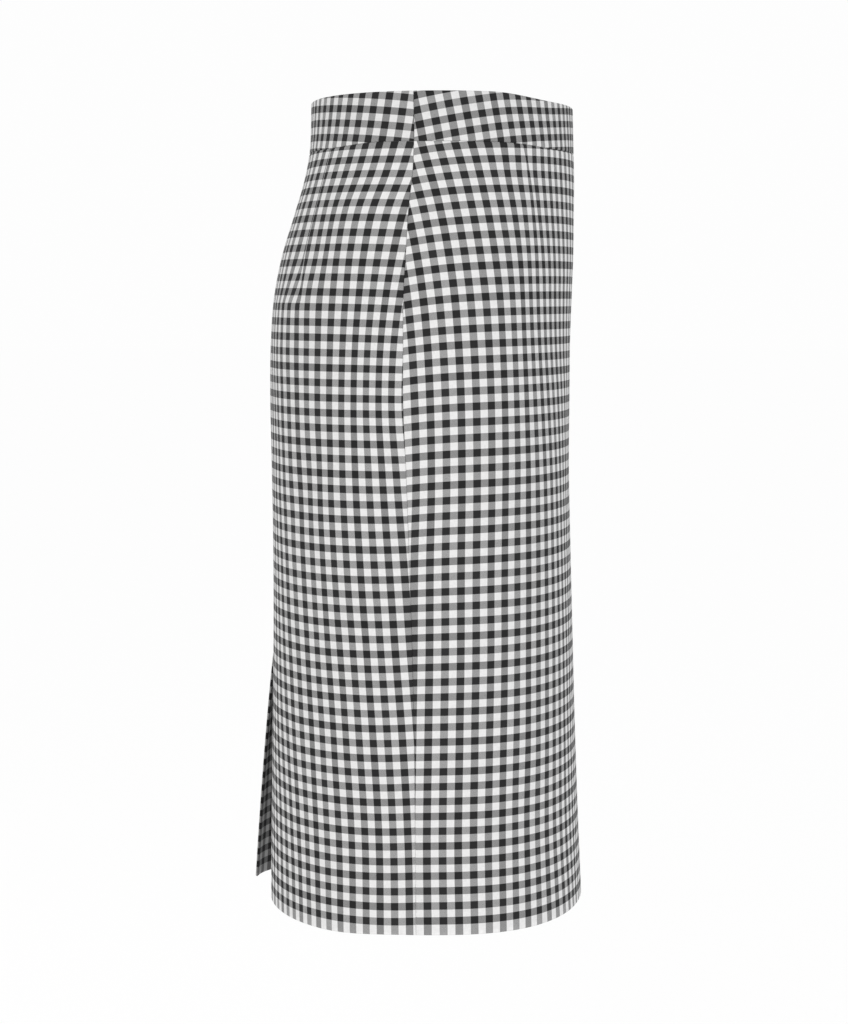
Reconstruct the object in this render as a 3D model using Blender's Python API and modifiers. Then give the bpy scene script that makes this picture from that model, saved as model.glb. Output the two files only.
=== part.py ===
"""Midi skirt in woven cloth, as worn but with nobody in it.

The shell is cut from a front and two backs, with a shaped waistband in two pieces, two darts in the
front and one in each back, a concealed zip in the left side seam and a slit at the centre back. +Z is
up, the front faces -Y and +X is the wearer's left. The origin is at the middle of the waist, half-way up
the waistband. All sizes are in metres; a drop is a distance below the waistband's top edge.
"""

import math
from collections import namedtuple

import bmesh
import bpy
import numpy as np
from mathutils import Matrix

LENGTH = 0.692
BAND_HEIGHT = 0.041
TOP = BAND_HEIGHT / 2

CLOTH = 0.0012
FOLDED_CLOTH = 0.0024
SEAM_GAP = 0.0003

# The top edge dips towards the centre front. The waist seam sags at the front and back, and the hem at the
# back.
WAIST_DIP = 0.0045
WAIST_DIP_SPAN = (0.35, 0.85)
WAIST_SEAM_SAG = 0.0030
WAIST_SEAM_SPAN = (0.42, 0.86)
WAIST_SEAM_END = 0.100
HEM_SAG = 0.0031
HEM_SAG_SPAN = (0.12, 0.66)
HEM_SAG_START = 0.400

HEM_TURN = 0.040
HEM_FOLD_STEP = 0.003

SLIT_TOP = 0.475
SLIT_HALF_WIDTH = 0.030
SLIT_OPENS_BY = 1.15
SLIT_TURN = 0.028
FLAP_FLARE = 0.018
FLAP_LIFT = 0.005
FLAP_REACH = 0.100
FLAP_SWINGS_BY = 0.85

# Sections round the skirt. A front_side or back_side over 2 flattens that quarter's side, and a back_face
# over 2 its back.
Section = namedtuple("Section", "drop front back half_breadth front_side back_side back_face seam")
SECTIONS = (
    Section(0.000, 0.1135, 0.1129, 0.1450, 2.00, 2.30, 2.15, 0.0240),
    Section(0.041, 0.1145, 0.1147, 0.1520, 2.10, 2.60, 2.25, 0.0236),
    Section(0.065, 0.1150, 0.1191, 0.1565, 2.20, 2.80, 2.30, 0.0246),
    Section(0.095, 0.1148, 0.1275, 0.1620, 2.30, 2.80, 2.30, 0.0278),
    Section(0.130, 0.1146, 0.1383, 0.1675, 2.45, 2.70, 2.30, 0.0300),
    Section(0.165, 0.1134, 0.1456, 0.1720, 2.55, 2.60, 2.20, 0.0320),
    Section(0.205, 0.1121, 0.1489, 0.1755, 2.62, 2.50, 2.15, 0.0323),
    Section(0.250, 0.1119, 0.1497, 0.1775, 2.70, 2.45, 2.15, 0.0323),
    Section(0.310, 0.1117, 0.1488, 0.1765, 2.75, 2.40, 2.15, 0.0298),
    Section(0.385, 0.1135, 0.1479, 0.1730, 2.80, 2.40, 2.15, 0.0272),
    Section(0.455, 0.1156, 0.1482, 0.1700, 2.80, 2.35, 2.10, 0.0250),
    Section(0.530, 0.1179, 0.1493, 0.1670, 2.80, 2.30, 2.10, 0.0234),
    Section(0.615, 0.1212, 0.1508, 0.1645, 2.75, 2.25, 2.10, 0.0226),
    Section(0.692, 0.1248, 0.1523, 0.1630, 2.70, 2.20, 2.10, 0.0220),
)

# A dart's distance from the centre line at the waist seam and at its tip, and the tip's drop.
Dart = namedtuple("Dart", "at_waist at_tip tip_drop depth")
FRONT_DART = Dart(0.1265, 0.1215, 0.150, 0.0005)
BACK_DART = Dart(0.1044, 0.1237, 0.172, 0.0005)

CENTRE_COLUMNS = {"front": 9, "back": 6}
SIDE_COLUMNS = {"front": 8, "back": 10}
SEAM_STRIP = 0.0015
BAND_ROWS = 4
SHELL_DROPS = (0.050, 0.062, 0.076, 0.093, 0.112, 0.130, 0.150, 0.172, 0.197, 0.225, 0.256, 0.290,
               0.326, 0.364, 0.402, 0.440, 0.475, 0.505, 0.535, 0.565, 0.595, 0.625)

ZIP_TOP = 0.003
ZIP_END = 0.205
TAPE_INNER_EDGE = 0.0013
TAPE_WIDTH = 0.012
TAPE_THICKNESS = 0.0010
TAPE_ROWS = 22
TAPE_COLUMNS = 3
TAPE_STEP_LENGTH = 0.008
TAPE_CLEARANCE = 0.00065
OPENING_TOP = 0.0011
OPENING_BOTTOM = 0.0004

SLIDER_DROP = 0.0100
SLIDER_SIZE = (0.0070, 0.0032, 0.0090)
SLIDER_BEVEL = 0.0008
NECK_WIDTH = 0.0016
NECK_HEIGHT = 0.0036
CROWN_RADIUS = 0.0019
CROWN_OUT = 0.0027
PIN_HOLE_RADIUS = 0.00105

PULL_THICKNESS = 0.0010
PULL_LENGTH = 0.0200
PULL_TOP_WIDTH = 0.0052
PULL_END_RADIUS = 0.0036
WINDOW_WIDTH = 0.0026
WINDOW_LENGTH = 0.0042
PULL_ARC_POINTS = 14

OUTLINE_SAMPLES = 721
SLOPE_STEP = 0.0005


def smooth_column(drop, name):
    """One column of the section table at any drop, by a smooth curve through its rows."""
    drops = np.array([section.drop for section in SECTIONS])
    values = np.array([getattr(section, name) for section in SECTIONS])
    slopes = np.gradient(values, drops)
    row = int(np.clip(np.searchsorted(drops, drop) - 1, 0, len(drops) - 2))
    span = drops[row + 1] - drops[row]
    t = (drop - drops[row]) / span
    start = (1 + 2 * t) * (1 - t) ** 2 * values[row] + t * (1 - t) ** 2 * span * slopes[row]
    end = t * t * (3 - 2 * t) * values[row + 1] - t * t * (1 - t) * span * slopes[row + 1]
    return start + end


class Outline:
    """Half of the skirt's plan outline at one drop, from the centre front to the centre back."""

    def __init__(self, drop):
        front = smooth_column(drop, "front")
        back = smooth_column(drop, "back")
        breadth = smooth_column(drop, "half_breadth")
        turn = np.linspace(0, math.pi, OUTLINE_SAMPLES)
        cosine = np.cos(turn)
        across = np.where(cosine > 0, 1.0, 2 / smooth_column(drop, "back_face"))
        sides = np.where(cosine > 0, smooth_column(drop, "front_side"), smooth_column(drop, "back_side"))
        centre = (back - front) / 2
        reach = (back + front) / 2
        self.x = breadth * np.sin(turn) ** across
        self.y = centre - reach * np.sign(cosine) * np.abs(cosine) ** (2 / sides)
        self.centre = centre
        self.reach = reach
        self.x[-1] = 0.0
        steps = np.hypot(np.diff(self.x), np.diff(self.y))
        self.arc = np.concatenate([[0.0], np.cumsum(steps)])
        self.length = self.arc[-1]
        self.widest = int(np.argmax(self.x))
        self.seam_arc = float(np.interp(smooth_column(drop, "seam"), self.y, self.arc))

    def point(self, arc):
        return float(np.interp(arc, self.arc, self.x)), float(np.interp(arc, self.arc, self.y))

    def arc_at_x(self, x, at_front):
        """The arc where the outline is x to the side, on its front or its back."""
        if at_front:
            return float(np.interp(x, self.x[:self.widest], self.arc[:self.widest]))
        return float(np.interp(x, self.x[self.widest:][::-1], self.arc[self.widest:][::-1]))


OUTLINES = {}


def outline_at(drop):
    key = round(drop, 6)
    if key not in OUTLINES:
        OUTLINES[key] = Outline(key)
    return OUTLINES[key]


def smooth_step(value):
    value = min(max(value, 0.0), 1.0)
    return value * value * (3 - 2 * value)


def slit_progress(drop):
    """0 at the slit's top and above, 1 at the hem."""
    return min(max((drop - SLIT_TOP) / (LENGTH - SLIT_TOP), 0.0), 1.0)


def slit_half_width(drop):
    return SLIT_HALF_WIDTH * slit_progress(drop) ** SLIT_OPENS_BY


def within(value, span):
    return smooth_step((value - span[0]) / (span[1] - span[0]))


def edge_lift(forward, drop):
    """How far a point is raised or lowered as the edges curve; forward is 1 at the front, -1 at the back."""
    dip = WAIST_DIP * within(forward, WAIST_DIP_SPAN) * max(1 - drop / BAND_HEIGHT, 0.0)
    seam_share = within(drop, (0.0, BAND_HEIGHT)) * (1 - within(drop, (BAND_HEIGHT, WAIST_SEAM_END)))
    seam_sag = WAIST_SEAM_SAG * within(abs(forward), WAIST_SEAM_SPAN) * seam_share
    hem_sag = HEM_SAG * within(-forward, HEM_SAG_SPAN) * within(drop, (HEM_SAG_START, LENGTH))
    return -dip - seam_sag - hem_sag


def skin_point(side, arc, drop):
    """A point on the outer face; side is +1 on the wearer's left and -1 on the right."""
    outline = outline_at(drop)
    x, y = outline.point(arc)
    z = TOP - drop + edge_lift((outline.centre - y) / outline.reach, drop)
    opened = slit_progress(drop)
    if side > 0 and opened > 0:
        from_edge = outline.length - slit_half_width(drop) - arc
        swing = opened ** FLAP_SWINGS_BY * (1 - smooth_step(from_edge / FLAP_REACH))
        y += FLAP_FLARE * swing
        z += FLAP_LIFT * swing * opened
    return np.array([side * x, y, z])


def skin_normal(side, arc, drop):
    """The outward normal, from the slopes of the outer face."""
    along = skin_point(side, arc + SLOPE_STEP, drop) - skin_point(side, arc - SLOPE_STEP, drop)
    down = skin_point(side, arc, drop + SLOPE_STEP) - skin_point(side, arc, drop - SLOPE_STEP)
    normal = np.cross(down, along) * side
    return normal / np.linalg.norm(normal)


def dart_arc(dart, drop, at_front):
    """Where the dart's line, or the column that carries it on to the hem, crosses this drop."""
    outline = outline_at(drop)
    run = min(max((drop - BAND_HEIGHT) / (dart.tip_drop - BAND_HEIGHT), 0.0), 1.0)
    if drop <= dart.tip_drop:
        return outline.arc_at_x(dart.at_waist + run * (dart.at_tip - dart.at_waist), at_front)
    tip = outline_at(dart.tip_drop)
    tip_arc = tip.arc_at_x(dart.at_tip, at_front)
    if at_front:
        return tip_arc / tip.seam_arc * outline.seam_arc
    share = (tip.length - tip_arc) / (tip.length - tip.seam_arc)
    return outline.length - share * (outline.length - outline.seam_arc)


def side_gap(side, drop):
    """Half of the gap at a side seam; in the waistband the left one opens for the slider's neck."""
    if side < 0 or drop > BAND_HEIGHT:
        return SEAM_GAP / 2
    return OPENING_TOP + drop / BAND_HEIGHT * (OPENING_BOTTOM - OPENING_TOP)


def front_arcs(side, drop):
    """Arcs of the front's columns, from the centre front to the side seam."""
    outline = outline_at(drop)
    dart = dart_arc(FRONT_DART, drop, True)
    centre = np.linspace(0.0, dart, CENTRE_COLUMNS["front"] + 1)
    edge = outline.seam_arc - side_gap(side, drop)
    beside = np.linspace(dart, edge - SEAM_STRIP, SIDE_COLUMNS["front"])
    return np.concatenate([centre, beside[1:], [edge]])


def back_arcs(side, drop):
    """Arcs of the back's columns, from the side seam to the centre back or the slit's edge."""
    outline = outline_at(drop)
    edge = outline.length
    if drop > BAND_HEIGHT:
        edge -= SEAM_GAP / 2 + slit_half_width(drop)
    dart = dart_arc(BACK_DART, drop, False)
    turn = edge - SLIT_TURN
    dart = min(dart, turn - SLIT_TURN) if drop > SLIT_TOP else dart
    seam = outline.seam_arc + side_gap(side, drop)
    beside = np.linspace(seam + SEAM_STRIP, dart, SIDE_COLUMNS["back"])
    centre = np.linspace(dart, turn, CENTRE_COLUMNS["back"] - 1)
    return np.concatenate([[seam], beside, centre[1:], [(turn + edge) / 2, edge]])


def shell_drops():
    """Drops of the rows below the waist seam, with the hem's turn-up marked by a close pair."""
    hem_top = LENGTH - HEM_TURN
    hem = [hem_top - HEM_FOLD_STEP, hem_top, LENGTH - HEM_TURN / 2, LENGTH]
    return [BAND_HEIGHT + SEAM_GAP / 2] + list(SHELL_DROPS) + hem


def band_drops():
    return list(np.linspace(0.0, BAND_HEIGHT - SEAM_GAP / 2, BAND_ROWS))


def dart_groove(dart, drop, column, dart_column):
    """How far the wall is drawn in along the dart's stitched line."""
    if column != dart_column or not BAND_HEIGHT < drop < dart.tip_drop:
        return 0.0
    return dart.depth


def front_row(side, drop):
    """Outer-face points of half the front, from the centre front to one side seam."""
    row = []
    for column, arc in enumerate(front_arcs(side, drop)):
        groove = dart_groove(FRONT_DART, drop, column, CENTRE_COLUMNS["front"])
        row.append(skin_point(side, arc, drop) - groove * skin_normal(side, max(arc, SLOPE_STEP), drop))
    return row


def back_row(side, drop):
    """Outer-face points of half the back, from one side seam to the centre back."""
    row = []
    for column, arc in enumerate(back_arcs(side, drop)):
        groove = dart_groove(BACK_DART, drop, column, SIDE_COLUMNS["back"])
        row.append(skin_point(side, arc, drop) - groove * skin_normal(side, arc - SLOPE_STEP, drop))
    return row


def front_grid(drops):
    """Rows of points across the whole front, from the right side seam to the left."""
    return [front_row(-1, drop)[:0:-1] + front_row(1, drop) for drop in drops]


def whole_back_grid(drops):
    """Rows of points across the whole back, from the right side seam to the left."""
    return [back_row(-1, drop)[:-1] + back_row(1, drop)[::-1] for drop in drops]


def half_back_grid(side, drops):
    return [back_row(side, drop) for drop in drops]


def folded_share(drops, columns, slit_columns):
    """1 where the cloth is turned double, at the hem and along the slit, and 0 elsewhere."""
    weights = np.zeros((len(drops), columns))
    for row, drop in enumerate(drops):
        if drop >= LENGTH - HEM_TURN - 1e-6:
            weights[row, :] = 1.0
        if drop >= SLIT_TOP - 1e-6 and slit_columns:
            weights[row, -slit_columns:] = 1.0
    return weights


def material(name, colour, roughness, metallic=0.0):
    made = bpy.data.materials.new(name)
    made.use_nodes = True
    shader = made.node_tree.nodes["Principled BSDF"]
    shader.inputs["Base Color"].default_value = (*colour, 1.0)
    shader.inputs["Roughness"].default_value = roughness
    shader.inputs["Metallic"].default_value = metallic
    return made


def collection(name):
    made = bpy.data.collections.new(name)
    bpy.context.scene.collection.children.link(made)
    return made


def object_from_mesh(name, mesh, into, finish):
    made = bpy.data.objects.new(name, mesh)
    into.objects.link(made)
    mesh.materials.append(finish)
    return made


def sheet_object(name, rows, outward_flip, into, finish):
    """An open surface through a grid of points, its faces turned outwards."""
    columns = len(rows[0])
    points = [tuple(point) for row in rows for point in row]
    faces = []
    for i in range(len(rows) - 1):
        for j in range(columns - 1):
            a = i * columns + j
            face = (a, a + 1, a + columns + 1, a + columns)
            faces.append(face[::-1] if outward_flip else face)
    mesh = bpy.data.meshes.new(name)
    mesh.from_pydata(points, [], faces)
    mesh.update()
    mesh.shade_smooth()
    return object_from_mesh(name, mesh, into, finish)


def add_wall(sheet, thickness, weights=None, single_share=1.0):
    """Thickens a sheet inwards; weights mark where the wall has its full thickness."""
    wall = sheet.modifiers.new("Wall", "SOLIDIFY")
    wall.thickness = thickness
    wall.offset = -1.0
    wall.use_even_offset = True
    if weights is not None:
        group = sheet.vertex_groups.new(name="folded")
        for index, weight in enumerate(weights.ravel()):
            group.add([index], float(weight), "REPLACE")
        wall.vertex_group = group.name
        wall.thickness_vertex_group = single_share


def make_shell(into, finish):
    drops = shell_drops()
    share = CLOTH / FOLDED_CLOTH
    front = sheet_object("skirt_front", front_grid(drops), True, into, finish)
    weights = folded_share(drops, 2 * len(front_arcs(1, drops[0])) - 1, 0)
    add_wall(front, FOLDED_CLOTH, weights, share)
    for name, side in (("skirt_back_left", 1), ("skirt_back_right", -1)):
        back = sheet_object(name, half_back_grid(side, drops), side > 0, into, finish)
        weights = folded_share(drops, len(back_arcs(side, drops[0])), 3)
        add_wall(back, FOLDED_CLOTH, weights, share)


def make_waistband(into, finish):
    drops = band_drops()
    add_wall(sheet_object("waistband_front", front_grid(drops), True, into, finish), FOLDED_CLOTH)
    add_wall(sheet_object("waistband_back", whole_back_grid(drops), False, into, finish), FOLDED_CLOTH)


def tape_depth(drop):
    """How far the tape's outer face lies behind the cloth's outer face."""
    run = smooth_step((drop - BAND_HEIGHT) / TAPE_STEP_LENGTH)
    return FOLDED_CLOTH + run * (CLOTH - FOLDED_CLOTH) + TAPE_CLEARANCE


def make_tapes(into, finish):
    """The zip's two tapes, inside the left side seam."""
    step_drops = [BAND_HEIGHT, BAND_HEIGHT + TAPE_STEP_LENGTH]
    drops = sorted(list(np.linspace(ZIP_TOP, ZIP_END, TAPE_ROWS)) + step_drops)
    offsets = np.linspace(TAPE_INNER_EDGE, TAPE_INNER_EDGE + TAPE_WIDTH, TAPE_COLUMNS)
    for name, backwards in (("zip_tape_front", -1), ("zip_tape_back", 1)):
        rows = []
        for drop in drops:
            row = []
            for offset in offsets:
                arc = outline_at(drop).seam_arc + backwards * offset
                row.append(skin_point(1, arc, drop) - tape_depth(drop) * skin_normal(1, arc, drop))
            rows.append(row)
        add_wall(sheet_object(name, rows, backwards > 0, into, finish), TAPE_THICKNESS)


def box_mesh(name, size, centre):
    mesh = bpy.data.meshes.new(name)
    shape = bmesh.new()
    bmesh.ops.create_cube(shape, size=1.0)
    bmesh.ops.scale(shape, vec=size, verts=shape.verts)
    bmesh.ops.translate(shape, vec=centre, verts=shape.verts)
    shape.to_mesh(mesh)
    shape.free()
    return mesh


def crosswise_cylinder_mesh(name, radius, width, centre, sides):
    """A cylinder whose axis runs along X."""
    mesh = bpy.data.meshes.new(name)
    shape = bmesh.new()
    bmesh.ops.create_cone(shape, cap_ends=True, segments=sides, radius1=radius, radius2=radius, depth=width)
    quarter = np.array([[0, 0, 1], [0, 1, 0], [-1, 0, 0]])
    for vert in shape.verts:
        vert.co = quarter @ np.array(vert.co) + np.array(centre)
    shape.to_mesh(mesh)
    shape.free()
    return mesh


def add_boolean(target, cutter, operation):
    cut = target.modifiers.new(operation.title(), "BOOLEAN")
    cut.operation = operation
    cut.object = cutter
    cut.solver = "EXACT"


def slider_frame():
    """The slider's own frame on the outer face: X across the seam, Y outwards and Z up along the seam."""
    arc = outline_at(SLIDER_DROP).seam_arc
    place = skin_point(1, arc, SLIDER_DROP)
    out = skin_normal(1, arc, SLIDER_DROP)
    lower_arc = outline_at(SLIDER_DROP + SLOPE_STEP).seam_arc
    up = place - skin_point(1, lower_arc, SLIDER_DROP + SLOPE_STEP)
    across = np.cross(out, up)
    across /= np.linalg.norm(across)
    up = np.cross(across, out)
    frame = np.eye(4)
    frame[:3] = np.stack([across, out, up, place], axis=1)
    return Matrix(frame.tolist())


def make_slider(into, cutters, finish):
    """The slider's body inside, its neck through the opening and its crown outside."""
    body_y = -tape_depth(SLIDER_DROP) - TAPE_THICKNESS - SEAM_GAP - SLIDER_SIZE[1] / 2
    body_mesh = box_mesh("zip_slider", SLIDER_SIZE, (0, body_y, 0))
    body = object_from_mesh("zip_slider", body_mesh, into, finish)
    body.matrix_world = slider_frame()
    bevel = body.modifiers.new("Rounded edges", "BEVEL")
    bevel.width = SLIDER_BEVEL
    bevel.segments = 2
    pin = (0, CROWN_OUT, 0)
    neck_size = (NECK_WIDTH, CROWN_OUT - body_y, NECK_HEIGHT)
    neck_mesh = box_mesh("slider_neck", neck_size, (0, (CROWN_OUT + body_y) / 2, 0))
    crown_mesh = crosswise_cylinder_mesh("slider_crown", CROWN_RADIUS, NECK_WIDTH, pin, 24)
    hole_mesh = crosswise_cylinder_mesh("slider_hole", PIN_HOLE_RADIUS, 2 * NECK_WIDTH, pin, 16)
    for mesh, operation in ((neck_mesh, "UNION"), (crown_mesh, "UNION"), (hole_mesh, "DIFFERENCE")):
        cutter = object_from_mesh(mesh.name, mesh, cutters, finish)
        cutter.matrix_world = slider_frame()
        cutter.hide_render = True
        cutter.display_type = "WIRE"
        add_boolean(body, cutter, operation)


def pull_outline():
    """The pull's edge in its own plane, hanging down from the pin, as (across, up) pairs."""
    end_centre = PULL_THICKNESS / 2 - PULL_LENGTH + PULL_END_RADIUS
    top = PULL_THICKNESS / 2
    half = PULL_TOP_WIDTH / 2
    points = [(-half, top)]
    for step in range(PULL_ARC_POINTS + 1):
        angle = math.pi * (1.0 + step / PULL_ARC_POINTS)
        points.append((PULL_END_RADIUS * math.cos(angle), end_centre + PULL_END_RADIUS * math.sin(angle)))
    points.append((half, top))
    return points


def pull_window():
    """The window under the pin, which leaves a square bar as the pin."""
    top = -PULL_THICKNESS / 2
    half = WINDOW_WIDTH / 2
    return [(-half, top), (half, top), (half, top - WINDOW_LENGTH), (-half, top - WINDOW_LENGTH)]


def make_pull(into, finish):
    """The pull tab, a flat plate with its window, hung on the crown's pin along the seam."""
    flat = bpy.data.curves.new("zip_pull", "CURVE")
    flat.dimensions = "2D"
    flat.fill_mode = "BOTH"
    flat.extrude = PULL_THICKNESS / 2
    for points in (pull_outline(), pull_window()):
        spline = flat.splines.new("POLY")
        spline.points.add(len(points) - 1)
        for place, (across, up) in zip(spline.points, points):
            place.co = (across, up, 0, 1)
        spline.use_cyclic_u = True
    source = bpy.data.objects.new("pull_source", flat)
    into.objects.link(source)
    bpy.context.view_layer.update()
    evaluated = source.evaluated_get(bpy.context.evaluated_depsgraph_get())
    mesh = bpy.data.meshes.new_from_object(evaluated)
    mesh.name = "zip_pull"
    bpy.data.objects.remove(source, do_unlink=True)
    shape = bmesh.new()
    shape.from_mesh(mesh)
    bmesh.ops.remove_doubles(shape, verts=shape.verts, dist=0.00001)
    shape.to_mesh(mesh)
    shape.free()
    mesh.materials.clear()
    pull = object_from_mesh("zip_pull", mesh, into, finish)
    hang = Matrix.Translation((0, CROWN_OUT, 0)) @ Matrix.Rotation(math.pi / 2, 4, "X")
    pull.matrix_world = slider_frame() @ hang


def main():
    for item in list(bpy.data.objects):
        bpy.data.objects.remove(item, do_unlink=True)
    parts = collection("midi_skirt")
    cutters = collection("cutters")
    check_cloth = material("check_cloth", (0.30, 0.30, 0.30), 0.85)
    tape_cloth = material("zip_tape_cloth", (0.02, 0.02, 0.02), 0.80)
    zip_metal = material("zip_metal", (0.05, 0.05, 0.05), 0.40, 0.8)
    make_waistband(parts, check_cloth)
    make_shell(parts, check_cloth)
    make_tapes(parts, tape_cloth)
    make_slider(parts, cutters, zip_metal)
    make_pull(parts, zip_metal)


main()
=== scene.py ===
"""Looks of the midi skirt: its gingham panels, concealed zip, stage, lights and camera.

The panels are fine shells on the part's own section rules. A drop is a distance below the waistband's top
edge, and a reach is a distance round the skirt from a side seam. All sizes are in metres.
"""

import math
from collections import namedtuple

import bmesh
import bpy
import numpy as np
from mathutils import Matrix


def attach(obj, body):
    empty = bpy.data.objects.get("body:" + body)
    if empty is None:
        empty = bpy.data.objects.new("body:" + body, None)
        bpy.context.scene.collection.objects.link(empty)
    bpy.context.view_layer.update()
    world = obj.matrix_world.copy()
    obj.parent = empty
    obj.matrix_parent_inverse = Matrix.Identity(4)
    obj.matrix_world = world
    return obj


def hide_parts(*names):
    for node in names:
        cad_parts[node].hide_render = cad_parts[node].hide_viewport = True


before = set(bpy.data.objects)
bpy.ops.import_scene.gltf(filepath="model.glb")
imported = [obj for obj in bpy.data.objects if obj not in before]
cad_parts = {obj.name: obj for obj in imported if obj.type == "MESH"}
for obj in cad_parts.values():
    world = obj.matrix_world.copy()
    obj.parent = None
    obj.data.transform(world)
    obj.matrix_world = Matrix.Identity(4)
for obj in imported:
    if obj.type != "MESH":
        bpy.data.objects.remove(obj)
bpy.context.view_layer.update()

LENGTH = 0.692
BAND_HEIGHT = 0.041
TOP = BAND_HEIGHT / 2
CLOTH = 0.0012
FOLDED_CLOTH = 0.0024

# The top edge's dip at the centre front, and the sags of the waist seam and the hem, each with the span of
# the way forwards or backwards in which it grows.
WAIST_DIP = 0.0045
WAIST_DIP_SPAN = (0.35, 0.85)
WAIST_SEAM_SAG = 0.0030
WAIST_SEAM_SPAN = (0.42, 0.86)
WAIST_SEAM_END = 0.100
HEM_SAG = 0.0031
HEM_SAG_SPAN = (0.12, 0.66)
HEM_SAG_START = 0.400

# The hem's turn-up, and the slit with its turned edges. Its left flap hangs further out and a little higher.
HEM_TURN = 0.040
SLIT_TOP = 0.475
SLIT_HALF_WIDTH = 0.030
SLIT_OPENS_BY = 1.15
SLIT_TURN = 0.028
FLAP_FLARE = 0.018
FLAP_LIFT = 0.005
FLAP_REACH = 0.100
FLAP_SWINGS_BY = 0.85
TURN_STEP = 0.003

# Sections round the skirt at a drop: how far they reach forwards, backwards and sideways, and how far behind
# the origin their side seams lie. A front_side or back_side over 2 flattens that quarter's side, and a
# back_face over 2 its back.
Section = namedtuple("Section", "drop front back half_breadth front_side back_side back_face seam")
SECTIONS = (
    Section(0.000, 0.1135, 0.1129, 0.1450, 2.00, 2.30, 2.15, 0.0240),
    Section(0.041, 0.1145, 0.1147, 0.1520, 2.10, 2.60, 2.25, 0.0236),
    Section(0.065, 0.1150, 0.1191, 0.1565, 2.20, 2.80, 2.30, 0.0246),
    Section(0.095, 0.1148, 0.1275, 0.1620, 2.30, 2.80, 2.30, 0.0278),
    Section(0.130, 0.1146, 0.1383, 0.1675, 2.45, 2.70, 2.30, 0.0300),
    Section(0.165, 0.1134, 0.1456, 0.1720, 2.55, 2.60, 2.20, 0.0320),
    Section(0.205, 0.1121, 0.1489, 0.1755, 2.62, 2.50, 2.15, 0.0323),
    Section(0.250, 0.1119, 0.1497, 0.1775, 2.70, 2.45, 2.15, 0.0323),
    Section(0.310, 0.1117, 0.1488, 0.1765, 2.75, 2.40, 2.15, 0.0298),
    Section(0.385, 0.1135, 0.1479, 0.1730, 2.80, 2.40, 2.15, 0.0272),
    Section(0.455, 0.1156, 0.1482, 0.1700, 2.80, 2.35, 2.10, 0.0250),
    Section(0.530, 0.1179, 0.1493, 0.1670, 2.80, 2.30, 2.10, 0.0234),
    Section(0.615, 0.1212, 0.1508, 0.1645, 2.75, 2.25, 2.10, 0.0226),
    Section(0.692, 0.1248, 0.1523, 0.1630, 2.70, 2.20, 2.10, 0.0220),
)

Dart = namedtuple("Dart", "at_waist at_tip tip_drop checks fade")
FRONT_DART = Dart(0.1265, 0.1215, 0.150, 0.40, 2)
BACK_DART = Dart(0.1044, 0.1237, 0.172, 1.0, 6)
DART_SPREAD = 0.0012
DART_TIP_SPREAD = 0.0110
DART_DEPTH = 0.0003
DART_WIDTH = 0.0030

# The check's columns at a drop: the one at the side seam, and how many lie in the first 50, 100 and 160 mm
# of the front and the first 60, 100 and 140 mm of the back.
Columns = namedtuple(
    "Columns", "drop front_seam front_50 front_100 front_160 back_seam back_60 back_100 back_140")
COLUMNS = (
    Columns(0.041, -0.08, 3.67, 7.25, 12.60, 0.30, 4.60, 7.42, 9.80),
    Columns(0.065, 0.51, 3.69, 7.65, 12.90, -0.17, 4.63, 7.38, 9.85),
    Columns(0.095, 1.39, 3.78, 7.73, 13.15, -0.78, 4.65, 7.70, 9.95),
    Columns(0.130, 2.14, 3.86, 7.77, 13.40, -1.30, 4.85, 7.95, 10.10),
    Columns(0.165, 2.73, 3.92, 7.82, 13.55, -1.72, 5.12, 7.82, 10.30),
    Columns(0.205, 3.07, 3.98, 7.88, 13.41, -2.18, 5.39, 8.18, 10.58),
    Columns(0.250, 3.25, 4.00, 7.88, 12.98, -2.37, 5.48, 8.38, 10.92),
    Columns(0.310, 3.15, 4.04, 7.86, 12.46, -2.18, 5.11, 8.16, 10.67),
    Columns(0.385, 2.81, 3.94, 7.77, 12.28, -1.86, 4.87, 8.00, 10.54),
    Columns(0.455, 2.60, 3.91, 7.80, 12.29, -1.62, 4.85, 7.94, 10.53),
    Columns(0.530, 2.39, 3.89, 7.78, 12.36, -1.27, 4.83, 7.92, 10.75),
    Columns(0.615, 2.24, 3.88, 7.81, 12.44, -0.98, 4.90, 8.04, 11.26),
    Columns(0.692, 2.25, 3.84, 7.79, 12.15, -0.92, 4.87, 8.20, 11.60),
)
FRONT_PLACES = (0.050, 0.100, 0.160)
BACK_PLACES = (0.060, 0.100, 0.140)
FRONT_CENTRE_COLUMN = -18.0
BACK_CENTRE_COLUMN = 15.5

Rows = namedtuple("Rows", "drop front_seam front_rise back_seam back_rise")
ROWS = (
    Rows(0.041, 2.74, 0.72, 3.22, 0.05),
    Rows(0.065, 4.78, 0.68, 5.28, 0.08),
    Rows(0.095, 7.22, 0.70, 7.80, 0.15),
    Rows(0.130, 10.03, 0.71, 10.69, 0.16),
    Rows(0.165, 12.82, 0.71, 13.57, 0.19),
    Rows(0.205, 16.09, 0.61, 16.85, 0.15),
    Rows(0.250, 19.76, 0.52, 20.62, 0.05),
    Rows(0.310, 24.63, 0.43, 25.56, -0.06),
    Rows(0.385, 30.74, 0.31, 31.72, -0.18),
    Rows(0.455, 36.47, 0.17, 37.45, -0.28),
    Rows(0.530, 42.52, 0.09, 43.53, -0.31),
    Rows(0.615, 49.36, 0.06, 50.39, -0.30),
    Rows(0.692, 55.47, 0.03, 56.45, -0.22),
)
FRONT_RISE_REACH = 0.040
BACK_RISE_REACH = 0.050

# The light row in which the check ends at the hem, and the painted shade on the hem's very edge, where the
# rows run a little towards the dark stripe.
FRONT_HEM_ROW = 55.225
BACK_HEM_ROW = 56.225
HEM_EDGE_PAINTED_SHADE = 0.024
HEM_EDGE = 0.0010

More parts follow.
